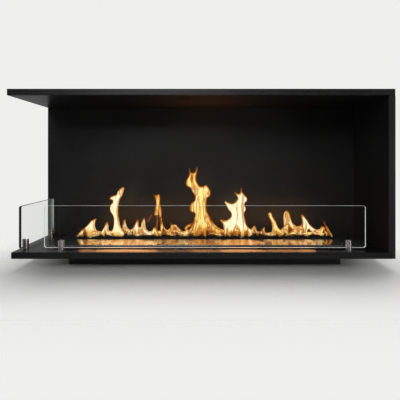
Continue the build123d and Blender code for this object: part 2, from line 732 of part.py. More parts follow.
def make_pad(place, along_x):
    """A silicone channel between a pane and its holder."""
    slot_width = GLASS_THICK + 2 * (PAD_THICK + PAD_GAP)
    slot_floor = FLOOR + GLASS_FOOT - PAD_THICK
    top = FLOOR + HOLDER_HEIGHT - PAD_INSET
    full = slot_box(place, along_x, slot_width, slot_floor, top)
    full -= slot_box(place, along_x, GLASS_THICK + 2 * PAD_GAP, FLOOR + GLASS_FOOT, top + CUT_SLACK)
    return full & rod((*place, slot_floor), (0, 0, 1), HOLDER_DIAMETER - 2 * PAD_INSET, HOLDER_HEIGHT)


def make_holder_pads():
    """The four silicone channels."""
    pads = [make_pad(place, True) for place in front_holder_places()]
    pads += [make_pad(place, False) for place in side_holder_places()]
    return Compound(children=pads)


def make_holder_screws():
    """Screws from under the floor sheet into the holders."""
    screws = []
    seat = FLOOR - SHEET
    for x, y in holder_places():
        head = rod((x, y, seat), (0, 0, -1), HOLDER_SCREW_HEAD, HOLDER_SCREW_HEAD_HEIGHT)
        shank = rod((x, y, seat), (0, 0, 1), HOLDER_SCREW, SHEET + HOLDER_SCREW_DEPTH)
        screws.append(head + shank)
    return Compound(children=screws)


def make_glass(length):
    """A pane standing in the XZ plane, its foot at Z 0, with round corners and eased edges."""
    outline = RectangleRounded(length, GLASS_HEIGHT, GLASS_CORNER)
    pane = extrude(Plane.XZ * outline, GLASS_THICK / 2, both=True)
    rims = [e for face in pane.faces().filter_by(Axis.Y) for e in face.edges()]
    pane = chamfer(rims, GLASS_EDGE)
    return Pos(0, 0, GLASS_HEIGHT / 2) * pane


def make_front_glass():
    """The long pane along the front."""
    middle = (FRONT_GLASS_LEFT + FRONT_GLASS_RIGHT) / 2
    pane = make_glass(FRONT_GLASS_RIGHT - FRONT_GLASS_LEFT)
    return Pos(middle, FRONT_GLASS_Y, FLOOR + GLASS_FOOT) * pane


def make_side_glass():
    """The short pane along the open end."""
    middle = (SIDE_GLASS_START + SIDE_GLASS_END) / 2
    pane = make_glass(SIDE_GLASS_END - SIDE_GLASS_START)
    return Pos(SIDE_GLASS_X, middle, FLOOR + GLASS_FOOT) * Rot(0, 0, 90) * pane


front_left, front_right = front_holder_places()
side_front, side_rear = side_holder_places()

parts = {
    "ceiling_liner": make_ceiling_liner(),
    "top_cover": wall_cover(TOP_WALL),
    "side_liner": make_side_liner(),
    "side_cover": wall_cover(SIDE_WALL),
    "back_liner": make_back_liner(),
    "back_cover": make_back_cover(),
    "floor_tray": make_floor_tray(),
    "base_underside": make_base_underside(),
    "burner_housing": make_burner_housing(),
    "housing_screws": make_housing_screws(),
    "cover_screws": make_cover_screws(),
    "joining_screws": make_joining_screws(),
    "wall_nuts": make_wall_nuts(),
    "burner_deck": make_burner_deck(),
    "burner_tank": make_burner_tank(),
    "burner_wool": make_burner_wool(),
    "burner_grate": make_burner_grate(),
    "shutter": make_shutter(),
    "shutter_rail_left": make_shutter_rail(-1),
    "shutter_rail_right": make_shutter_rail(1),
    "rail_rivets": make_rail_rivets(),
    "holder_front_left": make_holder(front_left, True),
    "holder_front_right": make_holder(front_right, True),
    "holder_side_front": make_holder(side_front, False),
    "holder_side_rear": make_holder(side_rear, False),
    "holder_pads": make_holder_pads(),
    "holder_screws": make_holder_screws(),
    "front_glass": make_front_glass(),
    "side_glass": make_side_glass(),
}

os.makedirs("parts", exist_ok=True)
for node, shape in parts.items():
    export_step(shape, f"parts/{node}.step")
    print(f"{node}: {shape.volume / 1000:.1f} cm3")
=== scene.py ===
import math

import bmesh
import bpy
from mathutils import Euler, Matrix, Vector, kdtree


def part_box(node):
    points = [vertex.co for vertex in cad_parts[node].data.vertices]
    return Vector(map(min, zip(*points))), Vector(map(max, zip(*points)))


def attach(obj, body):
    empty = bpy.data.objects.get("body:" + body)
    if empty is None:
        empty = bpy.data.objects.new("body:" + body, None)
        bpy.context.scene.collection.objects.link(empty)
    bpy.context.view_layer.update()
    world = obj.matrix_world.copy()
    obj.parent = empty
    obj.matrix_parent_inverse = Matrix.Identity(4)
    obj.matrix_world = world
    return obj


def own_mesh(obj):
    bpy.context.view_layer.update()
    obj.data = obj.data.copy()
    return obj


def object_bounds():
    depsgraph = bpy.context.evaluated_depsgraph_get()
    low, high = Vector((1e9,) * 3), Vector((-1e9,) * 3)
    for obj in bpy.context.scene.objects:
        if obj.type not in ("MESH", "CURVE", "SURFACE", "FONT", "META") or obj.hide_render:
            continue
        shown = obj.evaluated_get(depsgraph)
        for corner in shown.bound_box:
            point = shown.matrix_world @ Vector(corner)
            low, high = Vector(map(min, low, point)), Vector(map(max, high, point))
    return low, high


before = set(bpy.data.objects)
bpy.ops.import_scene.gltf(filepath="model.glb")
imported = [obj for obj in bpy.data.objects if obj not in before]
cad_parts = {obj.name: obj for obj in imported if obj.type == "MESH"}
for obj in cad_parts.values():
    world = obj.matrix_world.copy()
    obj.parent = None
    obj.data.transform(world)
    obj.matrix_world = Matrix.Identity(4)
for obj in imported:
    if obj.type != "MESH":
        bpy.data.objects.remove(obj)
cad_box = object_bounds()

bl_info = {
    "name": "Bioethanol fireplace",
    "version": (1, 0, 0),
    "blender": (4, 5, 0),
    "location": "View3D > Sidebar > Fireplace",
    "description": "Finishes, flames and studio for a wall-hung bioethanol fireplace",
    "category": "Object",
}

# Nodes of the frame, by finish
INNER_WALLS = ("ceiling_liner", "side_liner", "back_liner")
OUTER_WALLS = ("top_cover", "side_cover", "back_cover", "base_underside")
RAILS = ("shutter_rail_left", "shutter_rail_right")
HOLDERS = ("holder_front_left", "holder_front_right", "holder_side_front", "holder_side_rear")
ZINC_SCREWS = ("housing_screws", "joining_screws", "wall_nuts", "holder_screws")

MM = 0.001
WHITE = (1.0, 1.0, 1.0)
FLOOR_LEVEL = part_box("floor_tray")[1].z         # top of the firebox floor
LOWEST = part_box("burner_housing")[0].z
SLOT_MIDDLE = (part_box("burner_grate")[0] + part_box("burner_grate")[1]) / 2

# Studio
FLOOR_DROP = 0.0005         # between the housing and the floor
FLOOR_CORE = (0.68, 1.25)   # where the floor is whole, in half widths and half depths of the casing
FLOOR_SEGMENTS = 96
LEFT_STRIP = 0.4            # power of the left strip light, of the right one's
WIDE = 180.0                # spread of a light that shines all round, in degrees

# The soft lights: name, place, what it faces, size and spread
STUDIO_LIGHTS = (
    ("overhead", (0.14, 0.3, 2.2), (0.14, 0.3, 0.0), (2.6, 1.1), WIDE),
    ("high_front", (0.35, -1.3, 1.2), (0.1, -0.3, 0.1), (4.2, 0.14), WIDE),
    ("opening", (-0.48, -2.7, 1.3), (-0.09, 0.0, 0.0), (1.4, 1.1), 50.0),
    ("strip_right", (1.9, -1.8, 0.05), (0.0, -0.3, 0.05), (0.5, 1.0), WIDE),
    ("strip_left", (-2.4, -0.8, 0.05), (-0.3, -0.3, 0.05), (0.5, 1.0), WIDE),
)

# Panes: how far a face leans where a ground edge starts and where it is whole, as the share of
# its normal across the pane, and how strongly the edge mirrors
# The edges these looks belong to are painted: the pale ones glow with painted light, and the dark
# one is painted shade
PALE_EDGE = ((0.62, 0.36), 0.5)
DARK_EDGE = ((0.95, 0.75), 0.05)
# The side pane's rear edge is also painted a little way inside the pane, as a painted reflection of
# that edge
MIRRORED_EDGE = 0.031       # how far into the side pane its rear edge shows
MIRRORED_SHARE = 0.75       # how much of the rear edge shows there

# Fire
FIRELIGHT = (1.0, 0.41, 0.12)
EDGE_REACH = 0.010          # distance from the outline over which a flame's skin changes
THINNEST = 0.02             # square of a tongue's depth at its outline, of that in its middle
GLOW_OFFSET = 0.022         # from the slot's middle to the lamps in front of and behind the flames
GLOW_WIDTH = 1.3            # width of a lamp, of the flame that it lights for
LIP_OFFSET = 0.003          # from the shutter's front edge to the lamps over the hearth
LIP_SPREAD = 0.93           # places of those lamps along the slot, drawn in to its middle

# The fire's lamps, by height above the firebox floor
FOOT_GLOW = (0.029, 0.030)                  # at the flames' feet: height, and how tall a lamp is
HEARTH_GLOW = (0.0065, 0.009)               # over the hearth: the same
WALL_GLOW = (0.070, 0.20, (0.84, 0.10))     # for the wall: height, height it faces, size
CROWN_GLOW = (0.28, (0.22, 0.06), 120.0)    # for the ceiling: height, size, spread

# Where the tall flames light the hearth: middle along the slot and width in millimetres, and
# share of the light
GLOWS = (
    (-394, 44, 0.04), (-263, 165, 0.37), (-114, 120, 0.045), (-3, 100, 0.09),
    (129, 135, 0.27), (278, 105, 0.105), (354, 60, 0.08),
)

# The gas: brightness up a tongue, brightness inwards from its outline, and the colour and the
# light of a warmth
BODY_BY_RISE = ((0.0, 0.60), (0.16, 0.90), (0.68, 0.92), (0.88, 0.72), (1.0, 0.52))
SKIN_BY_EDGE = ((0.0, 0.24), (0.32, 0.37), (0.60, 1.0), (0.80, 1.04), (1.0, 0.96))
COLOUR_BY_WARMTH = (
    (0.0, (1.0, 0.20, 0.01)), (0.22, (1.0, 0.25, 0.02)), (0.36, (1.0, 0.33, 0.05)),
    (0.48, (1.0, 0.44, 0.10)), (0.60, (1.0, 0.58, 0.19)), (0.70, (1.0, 0.71, 0.29)),
    (0.82, (1.0, 0.86, 0.50)), (0.95, (1.0, 0.93, 0.70)),
)
GLOW_BY_WARMTH = (
    (0.0, 0.002), (0.22, 0.09), (0.36, 0.30), (0.48, 0.545), (0.60, 0.73), (0.70, 0.845),
    (0.82, 0.92), (0.95, 1.0),
)
AMBER = (1.0, 0.82, 0.32)   # tint of the cooler gas
HOLLOW = (0.032, 0.060)     # heights above the firebox floor where the clear middle starts to go
                            # and is gone
FOOT = (0.020, 0.034)       # heights where the flames start to show and are whole

# Flame tongues: how far behind the middle of the slot (mm), how hot, and the outline as
# points (X, height above the firebox floor), in millimetres
TONGUES = (
    (9, 0.92, (
        (-422, 16), (-401, 29), (-376, 34), (-351, 31), (-323, 36), (-295, 32), (-259, 32),
        (-224, 40), (-188, 31), (-160, 36), (-135, 32), (-100, 40), (-64, 32), (-11, 43), (42, 47),
        (88, 40), (106, 75), (120, 43), (142, 54), (166, 40), (209, 29), (244, 29), (273, 36),
        (294, 59), (308, 66), (326, 57), (340, 36), (379, 31), (415, 31), (439, 24), (450, 13),
        (415, 18), (390, 22), (365, 16), (344, 13), (315, 24), (294, 16), (269, 20), (237, 15),
        (209, 19), (181, 16), (152, 11), (117, 15), (81, 13), (39, 20), (7, 13), (-39, 11),
        (-75, 20), (-100, 16), (-124, 22), (-153, 13), (-181, 21), (-209, 13), (-245, 22),
        (-273, 15), (-302, 11), (-330, 18), (-351, 20), (-373, 15), (-401, 13),
    )),
    (-5, 1.0, (
        (-444, 14), (-437, 24), (-428, 35), (-418, 45), (-403, 57), (-393, 70), (-384, 78),
        (-371, 79), (-376, 68), (-377, 53), (-372, 39), (-363, 32), (-361, 24), (-379, 14),
        (-411, 10),
    )),
    (4, 1.08, (
        (-368, 26), (-357, 33), (-350, 43), (-344, 57), (-337, 68), (-333, 56), (-332, 42),
        (-329, 33), (-323, 30), (-323, 17), (-343, 10), (-364, 14),
    )),
    (-2, 1.32, (
        (-325, 30), (-317, 38), (-312, 56), (-311, 77), (-314, 91), (-321, 102), (-325, 115),
        (-322, 128), (-316, 138), (-317, 143), (-327, 148), (-324, 155), (-315, 160), (-303, 164),
        (-297, 177), (-289, 186), (-276, 189), (-277, 179), (-281, 163), (-287, 152), (-292, 143),
        (-295, 129), (-297, 112), (-296, 91), (-293, 70), (-290, 54), (-284, 41), (-275, 30),
        (-271, 15), (-299, 10), (-324, 13),
    )),
    (6, 1.18, (
        (-289, 15), (-287, 33), (-285, 47), (-282, 61), (-277, 75), (-272, 63), (-267, 50),
        (-261, 41), (-252, 41), (-244, 50), (-234, 40), (-234, 19), (-258, 13),
    )),
    (-4, 1.18, (
        (-244, 35), (-242, 51), (-235, 67), (-227, 78), (-224, 68), (-223, 52), (-219, 51),
        (-217, 62), (-212, 74), (-205, 83), (-202, 73), (-200, 56), (-196, 41), (-186, 35),
        (-176, 40), (-170, 50), (-165, 37), (-175, 23), (-197, 21), (-209, 13), (-219, 21),
        (-233, 13), (-242, 21),
    )),
    (0, 0.88, (
        (-176, 31), (-169, 45), (-164, 66), (-164, 85), (-170, 91), (-169, 108), (-165, 129),
        (-167, 149), (-173, 164), (-164, 162), (-154, 167), (-150, 156), (-150, 133), (-153, 108),
        (-156, 87), (-157, 59), (-159, 38), (-153, 18), (-169, 13),
    )),
    (5, 0.88, (
        (-157, 100), (-151, 132), (-148, 120), (-145, 97), (-144, 79), (-139, 61), (-133, 47),
        (-125, 39), (-116, 44), (-111, 35), (-117, 21), (-134, 17), (-145, 21), (-149, 40),
        (-151, 68),
    )),
    (-3, 0.94, (
        (-121, 26), (-116, 40), (-114, 56), (-111, 67), (-105, 59), (-97, 60), (-90, 55), (-84, 47),
        (-75, 38), (-65, 35), (-54, 42), (-49, 31), (-60, 19), (-88, 15), (-112, 15),
    )),
    (2, 0.89, (
        (-64, 23), (-58, 34), (-46, 43), (-37, 62), (-32, 81), (-29, 97), (-42, 102), (-46, 118),
        (-42, 132), (-30, 143), (-29, 159), (-37, 170), (-41, 180), (-46, 188), (-56, 192),
        (-60, 202), (-58, 215), (-50, 229), (-48, 245), (-47, 257), (-42, 244), (-35, 241),
        (-28, 245), (-25, 254), (-20, 262), (-17, 253), (-20, 238), (-23, 224), (-22, 212),
        (-16, 200), (-9, 192), (1, 194), (11, 198), (19, 191), (27, 178), (29, 168), (25, 156),
        (17, 152), (14, 141), (13, 125), (14, 110), (18, 97), (26, 83), (35, 68), (48, 53),
        (60, 43), (76, 35), (81, 23), (56, 14), (14, 9), (-32, 11),
    )),
    (-8, 0.9, (
        (-45, 29), (-37, 46), (-30, 67), (-26, 95), (-24, 123), (-23, 151), (-15, 162), (-10, 141),
        (-10, 109), (-14, 78), (-21, 50), (-26, 23), (-33, 16),
    )),
    (-9, 0.88, (
        (0, 148), (9, 158), (12, 141), (11, 116), (18, 93), (31, 69), (48, 49), (67, 35), (58, 29),
        (37, 36), (18, 52), (5, 78), (0, 113),
    )),
    (-6, 0.76, (
        (-65, 44), (-58, 55), (-47, 62), (-36, 64), (-39, 53), (-50, 49), (-56, 40),
    )),
    (-1, 1.18, (
        (69, 20), (74, 36), (72, 52), (68, 64), (62, 75), (76, 72), (92, 79), (99, 91), (97, 101),
        (89, 112), (82, 126), (77, 140), (93, 134), (106, 134), (116, 140), (122, 150), (117, 161),
        (111, 173), (122, 167), (130, 168), (133, 178), (135, 188), (138, 177), (143, 167),
        (151, 159), (156, 151), (155, 142), (149, 135), (147, 126), (151, 119), (151, 109),
        (147, 101), (146, 91), (149, 76), (152, 61), (159, 50), (168, 41), (174, 27), (162, 13),
        (123, 10), (85, 10),
    )),
    (7, 1.0, (
        (159, 26), (168, 39), (175, 46), (184, 55), (188, 47), (191, 38), (197, 33), (204, 35),
        (212, 42), (219, 48), (220, 38), (224, 30), (233, 26), (246, 26), (246, 18), (223, 17),
        (205, 15), (187, 14), (166, 12),
    )),
    (-4, 0.92, (
        (241, 21), (243, 42), (242, 59), (236, 73), (230, 86), (228, 96), (234, 103), (241, 102),
        (244, 91), (250, 80), (256, 70), (260, 58), (266, 47), (274, 39), (282, 35), (286, 26),
        (271, 17), (250, 15),
    )),
    (3, 0.96, (
        (278, 29), (285, 42), (284, 62), (283, 79), (284, 95), (289, 105), (296, 109), (304, 103),
        (308, 90), (312, 74), (319, 61), (328, 54), (341, 53), (349, 58), (354, 44), (351, 26),
        (339, 22), (325, 30), (310, 43), (299, 56), (294, 49), (296, 37), (307, 26), (318, 18),
        (300, 19), (288, 28),
    )),
    (-3, 1.1, (
        (336, 31), (343, 52), (348, 64), (346, 80), (344, 91), (348, 96), (354, 90), (363, 79),
        (371, 66), (380, 55), (391, 46), (403, 41), (411, 43), (416, 33), (408, 23), (390, 26),
        (377, 37), (369, 42), (366, 31), (367, 15), (354, 24), (343, 19),
    )),
    (4, 0.92, (
        (409, 24), (412, 39), (416, 47), (423, 53), (429, 49), (432, 39), (440, 28), (447, 16),
        (438, 16), (426, 25), (417, 16),
    )),
    (-5, 0.9, (
        (423, 71), (431, 59), (439, 46), (447, 32), (453, 15), (446, 17), (438, 32), (431, 47),
        (426, 58),
    )),
    (0, 0.55, (
        (-179, 95), (-183, 81), (-187, 72), (-194, 66), (-191, 79), (-186, 87),
    )),
)


class CasingFinish(bpy.types.PropertyGroup):
    """Powder coat of the walls, the housing and the firebox floor"""
    colour: bpy.props.FloatVectorProperty(
        name="Colour", description="Colour of the powder coat", subtype="COLOR",
        size=3, default=(0.019, 0.019, 0.0195), min=0.0, max=1.0,
    )
    inner_roughness: bpy.props.FloatProperty(
        name="Inner roughness", description="Roughness of the sheets inside the firebox",
        default=0.31, min=0.0, max=1.0, subtype="FACTOR",
    )
    outer_roughness: bpy.props.FloatProperty(
        name="Outer roughness", description="Roughness of the outer sheets and the housing",
        default=0.48, min=0.0, max=1.0, subtype="FACTOR",
    )
    hearth_colour: bpy.props.FloatVectorProperty(
        name="Hearth colour", description="Colour of the floor of the firebox", subtype="COLOR",
        size=3, default=(0.009, 0.009, 0.0092), min=0.0, max=1.0,
    )
    hearth_roughness: bpy.props.FloatProperty(
        name="Hearth roughness", description="Roughness of the floor of the firebox",
        default=0.28, min=0.0, max=1.0, subtype="FACTOR",
    )
    refraction: bpy.props.FloatProperty(
        name="Refraction",
        description="Index of refraction of the powder coat, which sets its gloss",
        default=1.35, min=1.0, max=3.0,
    )
    grain: bpy.props.FloatProperty(
        name="Grain", description="Width of the powder coat's fine texture",
        default=0.0012, min=0.0002, max=0.01, unit="LENGTH",
    )


class BurnerFinish(bpy.types.PropertyGroup):
    """Heat resistant black of the burner's top"""
    colour: bpy.props.FloatVectorProperty(
        name="Colour", description="Colour of the heat resistant black", subtype="COLOR",
        size=3, default=(0.012, 0.012, 0.0125), min=0.0, max=1.0,
    )
    roughness: bpy.props.FloatProperty(
        name="Roughness", description="Roughness of the burner's top plate and shutter",
        default=0.16, min=0.0, max=1.0, subtype="FACTOR",
    )


class SteelFinish(bpy.types.PropertyGroup):
    """Stainless steel of the holders and the tank"""
    colour: bpy.props.FloatVectorProperty(
        name="Colour", description="Colour of the stainless steel", subtype="COLOR",
        size=3, default=(0.55, 0.535, 0.515), min=0.0, max=1.0,
    )
    roughness: bpy.props.FloatProperty(
        name="Roughness", description="Roughness of the turned and brushed steel",
        default=0.25, min=0.0, max=1.0, subtype="FACTOR",
    )
    grain: bpy.props.FloatProperty(
        name="Grain", description="Spacing of the turning marks",
        default=0.0006, min=0.0001, max=0.01, unit="LENGTH",
    )


class GlassFinish(bpy.types.PropertyGroup):
    """Clear panes and their ground edges"""
    tint: bpy.props.FloatVectorProperty(
        name="Tint", description="What the panes let through", subtype="COLOR",
        size=3, default=(0.993, 0.998, 0.995), min=0.0, max=1.0,
    )
    # Painted light: the pale ground edges glow in this colour through emission, whatever light
    # falls on them
    painted_light_edge: bpy.props.FloatVectorProperty(
        name="Pale edge", description="Colour of the ground edges that gather light",
        subtype="COLOR", size=3, default=(0.46, 0.49, 0.47), min=0.0, max=1.0,
    )
    # Painted shade: the side pane's front edge is painted near black
    painted_shade_edge: bpy.props.FloatVectorProperty(
        name="Dark edge", description="Colour of the side pane's front edge", subtype="COLOR",
        size=3, default=(0.009, 0.013, 0.011), min=0.0, max=1.0,
    )


class FlameFinish(bpy.types.PropertyGroup):
    """Shape of the flames, and the light they give"""
    depth: bpy.props.FloatProperty(
        name="Depth", description="Half the depth of a tongue in its middle",
        default=0.013, min=0.002, max=0.025, unit="LENGTH",
    )
    cell: bpy.props.FloatProperty(
        name="Cell", description="Size of the small faces that a tongue is made of",
        default=0.0024, min=0.001, max=0.01, unit="LENGTH",
    )
    strength: bpy.props.FloatProperty(
        name="Strength", description="Brightness of the hottest gas", default=1.1, min=0.0,
    )
    hearth_power: bpy.props.FloatProperty(
        name="Hearth power", description="Power of the fire's light on the hearth in front of it",
        default=0.052, min=0.0, unit="POWER",
    )
    foot_power: bpy.props.FloatProperty(
        name="Foot power", description="Power of the light at the foot of the flames",
        default=0.034, min=0.0, unit="POWER",
    )
    wall_power: bpy.props.FloatProperty(
        name="Wall power", description="Power of the fire's light on the wall behind it",
        default=0.18, min=0.0, unit="POWER",
    )
    crown_power: bpy.props.FloatProperty(
        name="Crown power", description="Power of the fire's light on the ceiling",
        default=0.22, min=0.0, unit="POWER",
    )


class StageSettings(bpy.types.PropertyGroup):
    """Studio: background, floor, lights and camera"""
    background: bpy.props.FloatVectorProperty(
        name="Background", description="Colour behind the fireplace", subtype="COLOR",
        size=3, default=(0.863, 0.863, 0.838), min=0.0, max=1.0,
    )
    ambient: bpy.props.FloatProperty(
        name="Ambient", description="Light from all around", default=0.07, min=0.0,
    )
    mirrored_front: bpy.props.FloatProperty(
        name="Mirrored in front",
        description="Brightness in front of the fireplace, in glossy surfaces",
        default=0.05, min=0.0,
    )
    mirrored_back: bpy.props.FloatProperty(
        name="Mirrored behind",
        description="Brightness behind the fireplace, in glossy surfaces",
        default=0.30, min=0.0,
    )
    floor_colour: bpy.props.FloatVectorProperty(
        name="Floor colour", description="Colour of the floor", subtype="COLOR",
        size=3, default=(0.82, 0.82, 0.80), min=0.0, max=1.0,
    )
    floor_radius: bpy.props.FloatProperty(
        name="Floor radius", description="Radius of the floor", default=2.0, min=1.0, unit="LENGTH",
    )
    floor_fade: bpy.props.FloatProperty(
        name="Floor fade", description="Width over which the floor fades into the background",
        default=0.52, min=0.05, unit="LENGTH",
    )
    overhead_power: bpy.props.FloatProperty(
        name="Overhead power", description="Power of the soft light above",
        default=66.0, min=0.0, unit="POWER",
    )
    front_power: bpy.props.FloatProperty(
        name="Front power", description="Power of the high soft light in front",
        default=2.0, min=0.0, unit="POWER",
    )
    opening_power: bpy.props.FloatProperty(
        name="Opening power", description="Power of the soft light that reaches the back wall",
        default=2.8, min=0.0, unit="POWER",
    )
    strip_power: bpy.props.FloatProperty(
        name="Strip power", description="Power of each upright strip light, seen in the holders",
        default=8.0, min=0.0, unit="POWER",
    )
    camera_place: bpy.props.FloatVectorProperty(
        name="Camera place", description="Where the camera stands", subtype="TRANSLATION",
        size=3, default=(0.0423, -1.539, 0.0452),
    )
    lens: bpy.props.FloatProperty(
        name="Lens", description="Focal length in millimetres",
        default=35.56, min=1.0, unit="CAMERA",
    )
    shift: bpy.props.FloatVectorProperty(
        name="Shift", description="Sideways and upward shift of the picture", size=2,
        default=(-0.0370, -0.1020),
    )


class FireplaceSettings(bpy.types.PropertyGroup):
    """All the settings of the fireplace"""
    casing: bpy.props.PointerProperty(
        type=CasingFinish, name="Casing", description="Powder coat",
    )
    burner: bpy.props.PointerProperty(
        type=BurnerFinish, name="Burner", description="Burner's black",
    )
    steel: bpy.props.PointerProperty(
        type=SteelFinish, name="Steel", description="Stainless steel",
    )
    glass: bpy.props.PointerProperty(
        type=GlassFinish, name="Glass", description="Panes",
    )
    flames: bpy.props.PointerProperty(
        type=FlameFinish, name="Flames", description="Flames",
    )
    stage: bpy.props.PointerProperty(
        type=StageSettings, name="Stage", description="Studio",
    )


def new_material(name):
    """An empty node material."""
    material = bpy.data.materials.new(name)
    material.use_nodes = True
    material.node_tree.nodes.clear()
    return material, material.node_tree


def node(tree, kind, inputs=None, **settings):
    """A shader node with its settings, each input set to a value or linked from a socket."""
    made = tree.nodes.new("ShaderNode" + kind)
    for key, value in settings.items():
        setattr(made, key, value)
    for key, value in (inputs or {}).items():
        if isinstance(value, bpy.types.NodeSocket):
            tree.links.new(value, made.inputs[key])
        else:
            made.inputs[key].default_value = value
    return made


def math_node(tree, operation, first, second, clamp=False):
    """The result of a sum on two values or sockets."""
    made = node(tree, "Math", {0: first, 1: second}, operation=operation, use_clamp=clamp)
    return made.outputs[0]


def product(tree, first, second):
    """Two values or sockets multiplied."""
    return math_node(tree, "MULTIPLY", first, second)


def ranged(tree, value, low, high, to_low, to_high):
    """A value moved from one range to another, and held within it."""
    made = node(
        tree, "MapRange",
        {"Value": value, "From Min": low, "From Max": high,
         "To Min": to_low, "To Max": to_high},
    )
    return made.outputs["Result"]


def ramp(tree, value, stops):
    """A colour, or a grey level, that follows a value through its stops."""
    made = node(tree, "ValToRGB", {"Fac": value})
    elements = made.color_ramp.elements
    elements[0].position, elements[1].position = stops[0][0], stops[-1][0]
    for place, _ in stops[1:-1]:
        elements.new(place)
    for element, (_, colour) in zip(elements, stops):
        shade = colour if isinstance(colour, tuple) else (colour,) * 3
        element.color = (*shade, 1.0)
    return made.outputs["Color"]


def object_place(tree, stretch=(1.0, 1.0, 1.0)):
    """Object coordinates, stretched along the axes."""
    place = node(tree, "TexCoord").outputs["Object"]
    return node(tree, "Mapping", {"Vector": place, "Scale": stretch}).outputs["Vector"]


def noise(tree, place, size, detail=3.0, roughness=0.55, distortion=0.0):
    """Noise whose features are about as wide as the given size in metres."""
    made = node(
        tree, "TexNoise",
        {"Vector": place, "Scale": 1.0 / size, "Detail": detail, "Roughness": roughness,
         "Distortion": distortion},
    )
    return made.outputs["Fac"]


def shaded(tree, colour, amount, value):
    """A colour that turns darker and lighter by a share, as the value goes from 0 to 1."""
    low = tuple(max(0.0, c * (1 - amount)) for c in colour)
    high = tuple(min(1.0, c * (1 + amount)) for c in colour)
    return ramp(tree, value, ((0.25, low), (0.75, high)))


def surface(tree, inputs):
    """The Principled surface of a material."""
    shader = node(tree, "BsdfPrincipled", inputs)
    node(tree, "OutputMaterial", {"Surface": shader.outputs["BSDF"]})


def powder_coat(name, colour, roughness, refraction, grain, lacquer=0.0):
    """Matt black powder coat: a fine pebbled skin with faint clouds in its gloss, which
    may have clear lacquer on the faces that look up, wiped to an uneven shine."""
    material, tree = new_material(name)
    place = object_place(tree)
    pebbles = noise(tree, place, size=grain, detail=2.0)
    clouds = noise(tree, place, size=0.11, detail=5.0, roughness=0.6)
    mottled = math_node(tree, "ADD", product(tree, pebbles, 0.35), product(tree, clouds, 0.65))
    bump = node(tree, "Bump", {"Height": pebbles, "Strength": 0.22, "Distance": grain * 0.12})
    shine = 0.0
    if lacquer:
        normal = node(tree, "NewGeometry").outputs["True Normal"]
        upward = node(tree, "SeparateXYZ", {0: normal}).outputs["Z"]
        wiped = ranged(tree, clouds, 0.35, 0.60, lacquer * 0.6, lacquer)
        shine = product(tree, wiped, ranged(tree, upward, 0.8, 0.95, 0.0, 1.0))
    surface(tree, {
        "Base Color": shaded(tree, colour, 0.22, mottled),
        "Roughness": ranged(tree, mottled, 0.3, 0.7, roughness - 0.05, roughness + 0.05),
        "IOR": refraction,
        "Coat Weight": shine,
        "Coat Roughness": 0.32,
        "Coat IOR": 1.45,
        "Normal": bump.outputs["Normal"],
    })
    return material


def burner_black(name, colour, roughness):
    """Glossy heat resistant black over sheet that was brushed along its length."""
    material, tree = new_material(name)
    brushing = noise(tree, object_place(tree, (0.02, 1.0, 1.0)), size=0.0022, detail=3.0)
    clouds = noise(tree, object_place(tree), size=0.05, detail=4.0, roughness=0.6)
    heat_stain = ranged(tree, clouds, 0.35, 0.7, roughness - 0.03, roughness + 0.07)
    bump = node(tree, "Bump", {"Height": brushing, "Strength": 0.05, "Distance": 0.00003})
    surface(tree, {
        "Base Color": shaded(tree, colour, 0.35, brushing),
        "Roughness": heat_stain,
        "IOR": 1.6,
        "Coat Weight": 1.0,
        "Coat Roughness": 0.06,
        "Coat IOR": 1.8,
        "Normal": bump.outputs["Normal"],
    })
    return material


def turned_steel(name, colour, roughness, grain):
    """Stainless steel with fine turning marks round an upright axis."""
    material, tree = new_material(name)
    round_about = object_place(tree, (0.02, 0.02, 1.0))
    marks = noise(tree, round_about, size=grain, detail=2.0, roughness=0.6)
    smudges = noise(tree, object_place(tree, (1.0, 1.0, 0.5)), size=0.012, detail=2.0)
    bump = node(tree, "Bump", {"Height": marks, "Strength": 0.05, "Distance": 0.00003})
    surface(tree, {
        "Base Color": shaded(tree, colour, 0.06, marks),
        "Roughness": ranged(tree, smudges, 0.3, 0.7, roughness - 0.02, roughness + 0.03),
        "Metallic": 1.0,
        "Anisotropic": 0.80,
        "Anisotropic Rotation": 0.25,
        "Tangent": node(tree, "Tangent", direction_type="RADIAL", axis="Z").outputs["Tangent"],
        "Normal": bump.outputs["Normal"],
    })
    return material


def rolled_steel(name, colour, roughness, stretch):
    """Sheet steel with the long fine marks of rolling, slightly blued by heat."""
    material, tree = new_material(name)
    marks = noise(tree, object_place(tree, stretch), size=0.0012, detail=4.0, roughness=0.65)
    stains = noise(tree, object_place(tree), size=0.06, detail=4.0, roughness=0.6)
    blued = tuple(c * k for c, k in zip(colour, (0.72, 0.70, 0.74)))
    tint = node(
        tree, "Mix", {"Factor": ranged(tree, stains, 0.45, 0.7, 0.0, 0.8)}, data_type="RGBA",
    )
    tree.links.new(shaded(tree, colour, 0.12, marks), tint.inputs["A"])
    tint.inputs["B"].default_value = (*blued, 1.0)
    bump = node(tree, "Bump", {"Height": marks, "Strength": 0.15, "Distance": 0.0001})
    surface(tree, {
        "Base Color": tint.outputs["Result"],
        "Roughness": ranged(tree, stains, 0.3, 0.7, roughness - 0.06, roughness + 0.10),
        "Metallic": 1.0,
        "Normal": bump.outputs["Normal"],
    })
    return material


def zinc_plate(name):
    """Zinc plating: bluish grey with a fine spangle."""
    material, tree = new_material(name)
    cells = node(
        tree, "TexVoronoi", {"Vector": object_place(tree), "Scale": 900.0}, feature="F1",
    ).outputs["Distance"]
    grey = shaded(tree, (0.56, 0.58, 0.60), 0.18, cells)
    surface(tree, {
        "Base Color": grey,
        "Roughness": ranged(tree, cells, 0.0, 0.6, 0.28, 0.42),
        "Metallic": 1.0,
    })
    return material


